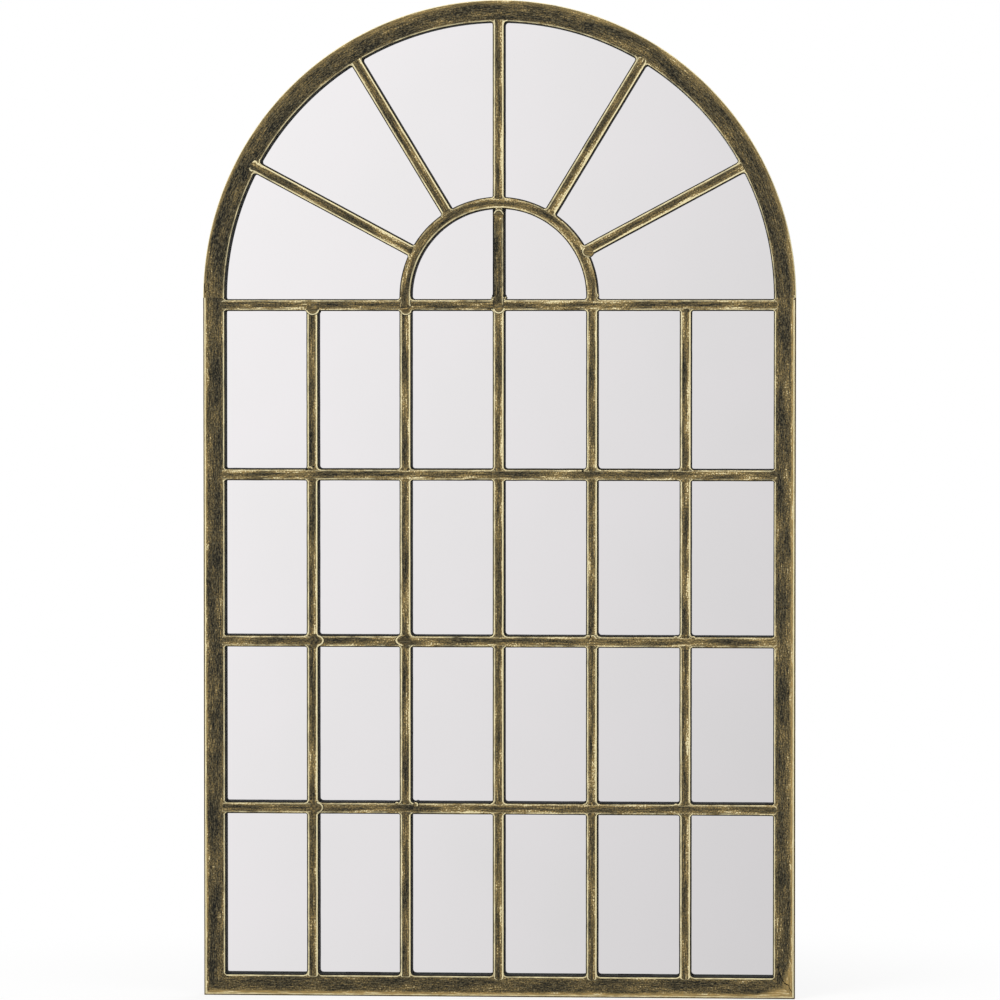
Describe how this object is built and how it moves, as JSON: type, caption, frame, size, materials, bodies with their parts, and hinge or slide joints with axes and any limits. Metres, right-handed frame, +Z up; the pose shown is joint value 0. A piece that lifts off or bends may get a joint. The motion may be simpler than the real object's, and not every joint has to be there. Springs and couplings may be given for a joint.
{
  "type": "arched window mirror",
  "caption": "Tall round-headed wall mirror in a dark steel window frame with brushed antique gold, with glazing bars and a fan of spokes over one sheet of mirror.",
  "frame": {"origin": "midway between the two keyholes, level with their round ends, on the frame tube's back face", "axes": "+Z up, +Y from the mirror towards the wall, +X to the right as seen from the front"},
  "size_m": [0.69, 0.0299, 1.1599],
  "materials": {
    "antiqued_steel": "satin",
    "silvered_glass": "polished",
    "foam_tape": "matte",
    "black_rubber": "matte",
    "corrugated_card": "matte",
    "black_hardboard": "matte",
    "zinc_plated_steel": "satin"
  },
  "bodies": {
    "mirror_body": {"arch_tube": "antiqued_steel", "left_stile": "antiqued_steel", "right_stile": "antiqued_steel", "bottom_rail": "antiqued_steel", "spring_rail": "antiqued_steel", "upper_rail": "antiqued_steel", "middle_rail": "antiqued_steel", "lower_rail": "antiqued_steel", "upright_r1_c1": "antiqued_steel", "upright_r1_c2": "antiqued_steel", "upright_r1_c3": "antiqued_steel", "upright_r1_c4": "antiqued_steel", "upright_r1_c5": "antiqued_steel", "upright_r2_c1": "antiqued_steel", "upright_r2_c2": "antiqued_steel", "upright_r2_c3": "antiqued_steel", "upright_r2_c4": "antiqued_steel", "upright_r2_c5": "antiqued_steel", "upright_r3_c1": "antiqued_steel", "upright_r3_c2": "antiqued_steel", "upright_r3_c3": "antiqued_steel", "upright_r3_c4": "antiqued_steel", "upright_r3_c5": "antiqued_steel", "upright_r4_c1": "antiqued_steel", "upright_r4_c2": "antiqued_steel", "upright_r4_c3": "antiqued_steel", "upright_r4_c4": "antiqued_steel", "upright_r4_c5": "antiqued_steel", "fan_arc": "antiqued_steel", "fan_spoke_1": "antiqued_steel", "fan_spoke_2": "antiqued_steel", "fan_spoke_3": "antiqued_steel", "fan_spoke_4": "antiqued_steel", "fan_spoke_5": "antiqued_steel", "fan_post": "antiqued_steel", "weld_beads": "antiqued_steel", "mirror_glass": "silvered_glass", "bedding_tape": "foam_tape", "setting_blocks": "black_rubber", "card_sheet": "corrugated_card", "backing_board": "black_hardboard", "wall_bumpers": "black_rubber", "turn_button_screws": "zinc_plated_steel"},
    "turn_button_1": {"turn_button_1": "zinc_plated_steel"},
    "turn_button_2": {"turn_button_2": "zinc_plated_steel"},
    "turn_button_3": {"turn_button_3": "zinc_plated_steel"},
    "turn_button_4": {"turn_button_4": "zinc_plated_steel"},
    "turn_button_5": {"turn_button_5": "zinc_plated_steel"},
    "turn_button_6": {"turn_button_6": "zinc_plated_steel"},
    "turn_button_7": {"turn_button_7": "zinc_plated_steel"},
    "turn_button_8": {"turn_button_8": "zinc_plated_steel"}
  },
  "joints": [
    {"name": "turn_button_1_swivel", "type": "hinge", "parent": "mirror_body", "child": "turn_button_1", "pos_m": [-0.3323, 0.0007, -0.1845], "axis": [0, 1, 0], "continuous": true},
    {"name": "turn_button_2_swivel", "type": "hinge", "parent": "mirror_body", "child": "turn_button_2", "pos_m": [-0.3323, 0.0007, -0.5268], "axis": [0, 1, 0], "continuous": true},
    {"name": "turn_button_3_swivel", "type": "hinge", "parent": "mirror_body", "child": "turn_button_3", "pos_m": [0, 0.0007, -0.7423], "axis": [0, 1, 0], "continuous": true},
    {"name": "turn_button_4_swivel", "type": "hinge", "parent": "mirror_body", "child": "turn_button_4", "pos_m": [0.3323, 0.0007, -0.5268], "axis": [0, 1, 0], "continuous": true},
    {"name": "turn_button_5_swivel", "type": "hinge", "parent": "mirror_body", "child": "turn_button_5", "pos_m": [0.3323, 0.0007, -0.1845], "axis": [0, 1, 0], "continuous": true},
    {"name": "turn_button_6_swivel", "type": "hinge", "parent": "mirror_body", "child": "turn_button_6", "pos_m": [0.23497, 0.0007, 0.29497], "axis": [0, 1, 0], "continuous": true},
    {"name": "turn_button_7_swivel", "type": "hinge", "parent": "mirror_body", "child": "turn_button_7", "pos_m": [0, 0.0007, 0.3923], "axis": [0, 1, 0], "continuous": true},
    {"name": "turn_button_8_swivel", "type": "hinge", "parent": "mirror_body", "child": "turn_button_8", "pos_m": [-0.23497, 0.0007, 0.29497], "axis": [0, 1, 0], "continuous": true}
  ]
}
